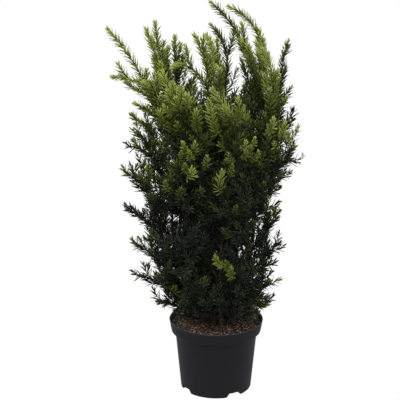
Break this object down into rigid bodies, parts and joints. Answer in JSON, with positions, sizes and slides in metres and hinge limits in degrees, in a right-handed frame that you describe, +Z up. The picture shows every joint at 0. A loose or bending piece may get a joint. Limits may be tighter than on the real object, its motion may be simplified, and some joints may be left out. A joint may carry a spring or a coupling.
{
  "type": "hillii hybrid yew in a nursery pot",
  "caption": "Upright evergreen yew shrub with ascending stems, dense dark needle sprays and light nodding new shoots, standing in a round black nursery pot filled with soil.",
  "frame": {"origin": "centre of the pot's flat underside", "axes": "+Z up along the pot's axis, -Y towards the viewer of the picture, +X to the viewer's right"},
  "size_m": [0.5171, 0.3428, 1.0792],
  "materials": {
    "pot_plastic": "black moulded plastic with a soft sheen",
    "potting_soil": "loose bark and peat chips",
    "bark": "thin flaking reddish brown bark",
    "needles_light": "satin yellow green new needles",
    "needles_green": "satin mid green needles",
    "needles_dark": "satin dark green needles"
  },
  "bodies": {
    "root": {"bough_front_left": "bark", "bough_left_low": "bark", "bough_left_pair": "bark", "bough_middle_pair": "bark", "bough_rear_left": "bark", "bough_rear_middle": "bark", "bough_rear_right": "bark", "bough_right_dark": "bark", "bough_right_light": "bark", "foliage_back_1": "needles_dark", "foliage_back_2": "needles_dark", "foliage_back_3": "needles_dark", "foliage_back_4": "needles_dark", "foliage_back_5": "needles_dark", "foliage_back_6": "needles_green", "foliage_back_left": "needles_light", "foliage_front": "needles_green", "foliage_front_1": "needles_dark", "foliage_front_2": "needles_dark", "foliage_front_3": "needles_dark", "foliage_front_4": "needles_dark", "foliage_front_5": "needles_dark", "foliage_front_6": "needles_green", "foliage_front_left": "needles_green", "foliage_inner_1": "needles_dark", "foliage_inner_2": "needles_dark", "foliage_inner_3": "needles_dark", "foliage_inner_4": "needles_dark", "foliage_left_1": "needles_dark", "foliage_left_2": "needles_dark", "foliage_left_3": "needles_dark", "foliage_left_4": "needles_dark", "foliage_left_5": "needles_green", "foliage_left_6": "needles_green", "foliage_left_long": "needles_light", "foliage_left_low": "needles_green", "foliage_left_pair": "needles_light", "foliage_middle": "needles_light", "foliage_middle_pair": "needles_light", "foliage_rear_left": "needles_green", "foliage_rear_middle": "needles_light", "foliage_rear_right": "needles_green", "foliage_right_1": "needles_dark", "foliage_right_2": "needles_dark", "foliage_right_3": "needles_dark", "foliage_right_4": "needles_dark", "foliage_right_5": "needles_dark", "foliage_right_6": "needles_green", "foliage_right_dark": "needles_green", "foliage_right_light": "needles_light", "foliage_second_top": "needles_light", "foliage_top": "needles_light", "pot": "pot_plastic", "soil": "potting_soil", "stem_back_left": "bark", "stem_back_right": "bark", "stem_front": "bark", "stem_left": "bark", "stem_right": "bark", "trunk": "bark"}
  },
  "joints": []
}
